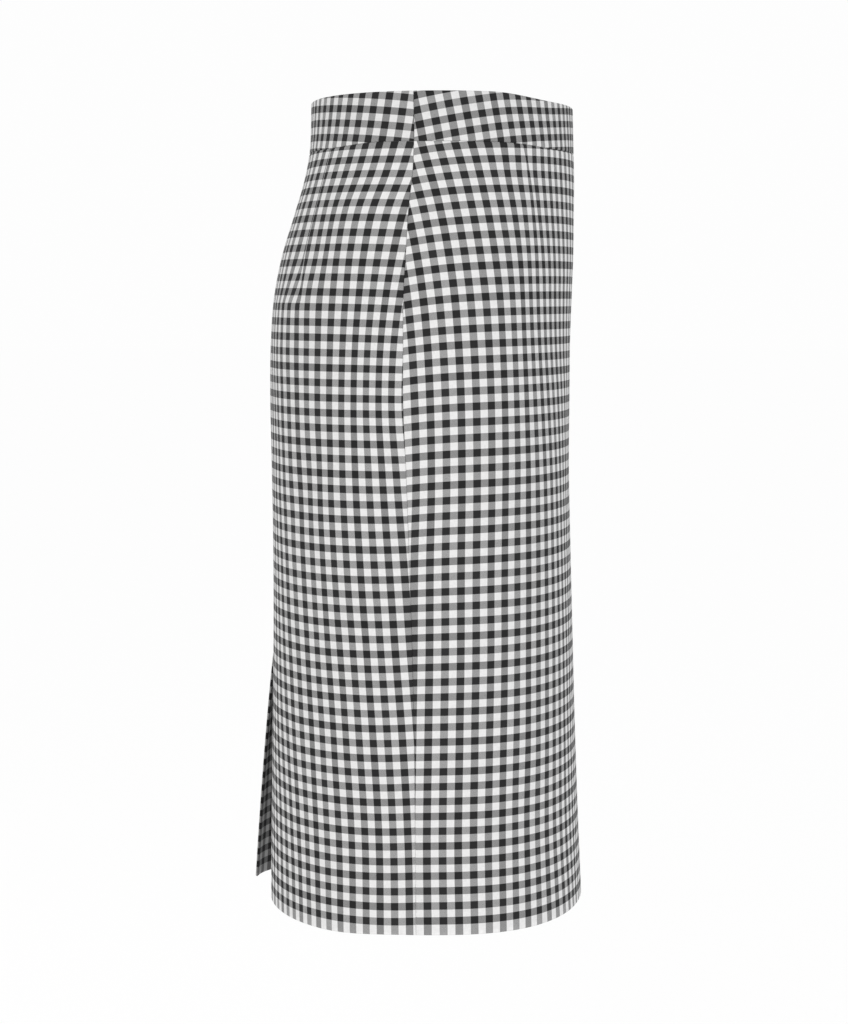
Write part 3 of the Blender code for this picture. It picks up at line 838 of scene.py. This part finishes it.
def gingham_material(name, tone):
    """Plain-woven gingham: dark and light stripes of yarn both ways, which cross as squares."""
    shader = Shader(name)
    uv = shader.node("ShaderNodeUVMap", uv_map="checks")
    parts = shader.node("ShaderNodeSeparateXYZ")
    shader.link(uv.outputs["UV"], parts.inputs["Vector"])
    darks = []
    yarns = []
    shades = []
    streaks = []
    for axis, streak_scale in STREAK_SCALES.items():
        place = parts.outputs[axis]
        apart = shader.math("PINGPONG", place, HALF_REPEAT)
        dark = shader.ramp(apart, STRIPE_EDGE - STRIPE_BLUR, STRIPE_EDGE + STRIPE_BLUR)
        darks.append(dark)
        yarns.append(shader.math("SINE", shader.math("MULTIPLY", place, YARNS_A_CHECK * math.pi)))
        beat = shader.math("COSINE", shader.math("MULTIPLY", shader.math("FLOOR", place), STRIPE_BEAT))
        loss = shader.math("MULTIPLY_ADD", beat, -STRIPE_SWING, STRIPE_SHADE)
        shades.append(shader.math("SUBTRACT", 1.0, shader.math("MULTIPLY", dark, loss)))
        scaled = shader.node("ShaderNodeVectorMath", operation="MULTIPLY")
        shader.link(uv.outputs["UV"], scaled.inputs[0])
        scaled.inputs[1].default_value = streak_scale
        streak = shader.noise(scaled.outputs["Vector"], 1.0)
        streaks.append(shader.ramp(streak, *STREAK_SPAN, 1 - STREAK_SWING, 1 + STREAK_SWING))
    crossing = shader.math("MULTIPLY", yarns[0], yarns[1])
    over = shader.ramp(crossing, -YARN_BLEND, YARN_BLEND, *YARN_SHARES)
    across = shader.mix(darks[0], opaque(WHITE_YARN), opaque(BLACK_YARN))
    along = shader.mix(darks[1], opaque(WHITE_YARN), opaque(BLACK_YARN))
    woven = shader.mix(over, across, along)
    # A tone under 1 darkens a copy of the cloth as painted shade, for the inner faces and the waistband.
    shade = shader.math("MULTIPLY", shader.math("MULTIPLY", shades[0], shades[1]), tone)
    shade = shader.math("MULTIPLY", shade, shader.math("MULTIPLY", streaks[0], streaks[1]))
    tinted = shader.node("ShaderNodeVectorMath", operation="SCALE")
    shader.link(woven, tinted.inputs[0])
    shader.link(shade, tinted.inputs["Scale"])
    shader.link(tinted.outputs["Vector"], shader.surface.inputs["Base Color"])
    shader.surface.inputs["Roughness"].default_value = CLOTH_ROUGHNESS
    shader.surface.inputs["Specular IOR Level"].default_value = CLOTH_SPECULAR
    shader.bump(shader.math("ABSOLUTE", crossing), YARN_RELIEF)
    return shader.material


def tape_material():
    """Black woven polyester tape, with fine ribs across it whose hollows carry painted shade; its UV map is
    in metres.
    """
    shader = Shader("zip_tape_weave")
    uv = shader.node("ShaderNodeUVMap", uv_map="metres")
    parts = shader.node("ShaderNodeSeparateXYZ")
    shader.link(uv.outputs["UV"], parts.inputs["Vector"])
    ribs = shader.math("SINE", shader.math("MULTIPLY", parts.outputs["Y"], 2 * math.pi / TAPE_RIB))
    cords = shader.math("SINE", shader.math("MULTIPLY", parts.outputs["X"], 2 * math.pi / TAPE_CORD))
    relief = shader.math("MULTIPLY", ribs, cords)
    # Painted shade: the colour runs from the darker one in the weave's hollows to the lighter one on its
    # crowns.
    colour = shader.mix(shader.ramp(relief, -1.0, 1.0), opaque(TAPE_PAINTED_SHADE_COLOUR), opaque(TAPE_HIGH_COLOUR))
    shader.link(colour, shader.surface.inputs["Base Color"])
    shader.surface.inputs["Roughness"].default_value = TAPE_ROUGHNESS
    shader.bump(relief, TAPE_RELIEF)
    return shader.material


def plain_material(finish):
    """A solid finish with a little unevenness in its colour and surface."""
    shader = Shader(finish.name)
    place = shader.node("ShaderNodeTexCoord").outputs["Object"]
    grain = shader.noise(place, finish.grains_a_metre)
    worn = shader.ramp(grain, *WORN_SPAN)
    colour = shader.mix(worn, opaque(finish.colour), opaque(finish.worn_colour))
    rough = shader.ramp(grain, *ROUGH_SPAN, finish.roughness - SMOOTHER, finish.roughness + ROUGHER)
    shader.link(colour, shader.surface.inputs["Base Color"])
    shader.link(rough, shader.surface.inputs["Roughness"])
    shader.surface.inputs["Metallic"].default_value = finish.metallic
    shader.bump(grain, finish.relief)
    return shader.material


def panel_pieces():
    """The pieces below the waist seam and the two of the waistband, each in place of its CAD solid."""
    # The inner faces get painted shade: a darker copy of the gingham.
    inside = gingham_material("gingham_inside_painted_shade", INSIDE_PAINTED_SHADE)
    finishes = (gingham_material("gingham", 1.0), inside)
    # The waistband's check is darkened a little as painted shade.
    band_finishes = (gingham_material("gingham_band_painted_shade", BAND_PAINTED_SHADE), inside)
    skirt_drops = edged_drops(
        BAND_HEIGHT + SEAM_EDGE_GAP / 2, LENGTH, (LENGTH - HEM_TURN - TURN_STEP, LENGTH - HEM_TURN))
    band_drops = edged_drops(0.0, BAND_HEIGHT - SEAM_EDGE_GAP / 2)
    skirt_front = joined(
        front_half(-1, skirt_drops, False), front_half(1, skirt_drops, False), FRONT_CENTRE_COLUMN, True)
    band_front = joined(
        front_half(-1, band_drops, True), front_half(1, band_drops, True), FRONT_BAND.centre_column, True)
    band_back = joined(
        back_half(-1, band_drops, True), back_half(1, band_drops, True), BACK_BAND.centre_column, False)
    made = {
        "skirt_front": cloth_piece("skirt_front_cloth", skirt_front, True, finishes),
        "waistband_front": cloth_piece("waistband_front_cloth", band_front, True, band_finishes),
        "waistband_back": cloth_piece("waistband_back_cloth", band_back, False, band_finishes),
    }
    for word, side in (("left", 1), ("right", -1)):
        back = back_half(side, skirt_drops, False)
        made["skirt_back_" + word] = cloth_piece(f"skirt_back_{word}_cloth", back, side > 0, finishes)
    for node, piece in made.items():
        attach(piece, "skirt")
        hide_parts(node)


def tape_depth(drop):
    """How far the tape's outer face lies behind the cloth's outer face."""
    run = smooth_step((drop - BAND_HEIGHT) / TAPE_STEP_LENGTH)
    return FOLDED_CLOTH + run * (CLOTH - FOLDED_CLOTH) + TAPE_CLEARANCE


def zip_row(drop, offsets, depth):
    """Points behind the left side seam: offsets run from it towards the back, depths inwards."""
    arcs = outline_at(drop).seam_arc + np.asarray(offsets)
    return skin_row(1, arcs, drop) - normal_row(1, arcs, drop) * np.reshape(depth, (-1, 1))


def tape_piece(name, backwards, finish):
    """One of the zip's tapes, a thin woven band beside the coil."""
    drops = edged_drops(ZIP_TOP, ZIP_END)
    offsets = TAPE_INNER_EDGE + np.linspace(0.0, TAPE_WIDTH, TAPE_CELLS + 1)
    grid = Grid(len(drops), len(offsets))
    for row, drop in enumerate(drops):
        depth = np.full(len(offsets), tape_depth(drop))
        grid.outer[row] = zip_row(drop, backwards * offsets, depth)
        grid.inner[row] = zip_row(drop, backwards * offsets, depth + TAPE_THICKNESS)
        grid.check[row, :, 0] = offsets
        grid.check[row, :, 1] = drop
    return cloth_piece(name, grid, backwards > 0, [finish], "metres")


def tube_faces(rings, sides):
    """Quads and end caps of a tube whose rings of points follow one another."""
    faces = []
    for ring in range(rings - 1):
        for k in range(sides):
            following = (k + 1) % sides
            low = ring * sides
            faces.append((low + k, low + following, low + sides + following, low + sides + k))
    faces.append(tuple(range(sides))[::-1])
    faces.append(tuple((rings - 1) * sides + k for k in range(sides)))
    return faces


def coil_tube(direction):
    """One half of the zip's coil, a wire wound beside the seam on the tape's inner side."""
    turns = (COIL_END - COIL_TOP) / COIL_PITCH
    count = int(turns * COIL_TURN_POINTS) + 1
    out_of_step = 0.5 if direction > 0 else 0.0
    turn = np.arange(count) / COIL_TURN_POINTS + out_of_step
    path = []
    for place in turn:
        drop = COIL_TOP + place * COIL_PITCH
        angle = 2 * math.pi * place
        offset = direction * (COIL_OFFSET + COIL_RADIUS * math.cos(angle))
        depth = tape_depth(drop) + TAPE_THICKNESS + COIL_RADIUS + COIL_WIRE + COIL_RADIUS * math.sin(angle)
        path.append(zip_row(drop, [offset], [depth])[0])
    path = np.array(path)
    along = np.gradient(path, axis=0)
    along /= np.linalg.norm(along, axis=1, keepdims=True)
    side = np.cross(along, np.array([0.0, 0.0, 1.0]))
    side /= np.linalg.norm(side, axis=1, keepdims=True)
    up = np.cross(side, along)
    angles = np.arange(COIL_WIRE_SIDES) * 2 * math.pi / COIL_WIRE_SIDES
    rings = path[:, None] + COIL_WIRE * (
        np.cos(angles)[None, :, None] * side[:, None] + np.sin(angles)[None, :, None] * up[:, None])
    return rings.reshape(-1, 3), tube_faces(count, COIL_WIRE_SIDES)


def mesh_piece(name, points, faces, finish):
    mesh = bpy.data.meshes.new(name)
    mesh.from_pydata(np.asarray(points).tolist(), [], faces)
    mesh.update()
    mesh.shade_smooth()
    mesh.materials.append(finish)
    made = bpy.data.objects.new(name, mesh)
    bpy.context.scene.collection.objects.link(made)
    return made


def zip_pieces():
    """The zip's tapes, coil and metal."""
    weave = tape_material()
    for name, backwards in (("zip_tape_front", -1), ("zip_tape_back", 1)):
        tape = tape_piece(name + "_cloth", backwards, weave)
        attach(tape, "skirt")
        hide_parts(name)
    points = []
    faces = []
    for direction in (-1, 1):
        tube, quads = coil_tube(direction)
        faces.extend(tuple(index + len(points) for index in face) for face in quads)
        points.extend(tube.tolist())
    coil = mesh_piece("zip_coil", points, faces, plain_material(NYLON))
    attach(coil, "skirt")
    enamel = plain_material(ENAMEL)
    for name in ("zip_slider", "zip_pull"):
        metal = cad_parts[name]
        metal.data.materials.clear()
        metal.data.materials.append(enamel)


def make_camera():
    data = bpy.data.cameras.new("camera")
    data.lens = CAMERA_LENS
    data.sensor_width = CAMERA_SENSOR
    data.clip_start = CAMERA_NEAR
    data.clip_end = CAMERA_FAR
    camera = bpy.data.objects.new("camera", data)
    camera.location = CAMERA_PLACE
    camera.rotation_euler = (math.pi / 2 - CAMERA_TILT, 0.0, -math.pi / 2)
    bpy.context.scene.collection.objects.link(camera)
    bpy.context.scene.camera = camera


def make_floor():
    """A wide pale floor, which is lit from within a little so that it keeps the backdrop's tone."""
    mesh = bpy.data.meshes.new("floor")
    shape = bmesh.new()
    bmesh.ops.create_circle(shape, cap_ends=True, segments=FLOOR_SIDES, radius=FLOOR_RADIUS)
    shape.to_mesh(mesh)
    shape.free()
    floor = bpy.data.objects.new("floor", mesh)
    floor.location = (0.0, 0.0, FLOOR_HEIGHT)
    bpy.context.scene.collection.objects.link(floor)
    shader = Shader("floor_paint")
    shader.surface.inputs["Base Color"].default_value = FLOOR_COLOUR
    shader.surface.inputs["Roughness"].default_value = 1.0
    shader.surface.inputs["Specular IOR Level"].default_value = 0.0
    shader.surface.inputs["Emission Color"].default_value = FLOOR_GLOW_COLOUR
    shader.surface.inputs["Emission Strength"].default_value = FLOOR_GLOW
    mesh.materials.append(shader.material)


def area_light(lamp):
    data = bpy.data.lights.new(lamp.name, "AREA")
    data.shape = "DISK"
    data.size = lamp.size
    data.energy = lamp.power
    data.color = lamp.colour
    light = bpy.data.objects.new(lamp.name, data)
    light.location = lamp.place
    towards = np.array(lamp.target) - np.array(lamp.place)
    upwards = math.atan2(towards[2], math.hypot(towards[0], towards[1]))
    sideways = math.atan2(-towards[0], towards[1])
    light.rotation_euler = (math.pi / 2 + upwards, 0.0, sideways)
    bpy.context.scene.collection.objects.link(light)


def make_lights():
    world = bpy.data.worlds.new("studio")
    bpy.context.scene.world = world
    world.use_nodes = True
    background = world.node_tree.nodes["Background"]
    background.inputs["Color"].default_value = BACKDROP_COLOUR
    background.inputs["Strength"].default_value = 1.0
    for lamp in LAMPS:
        area_light(lamp)


def main():
    make_camera()
    panel_pieces()
    zip_pieces()
    make_floor()
    make_lights()
    bpy.context.scene.view_settings.view_transform = "Standard"


main()
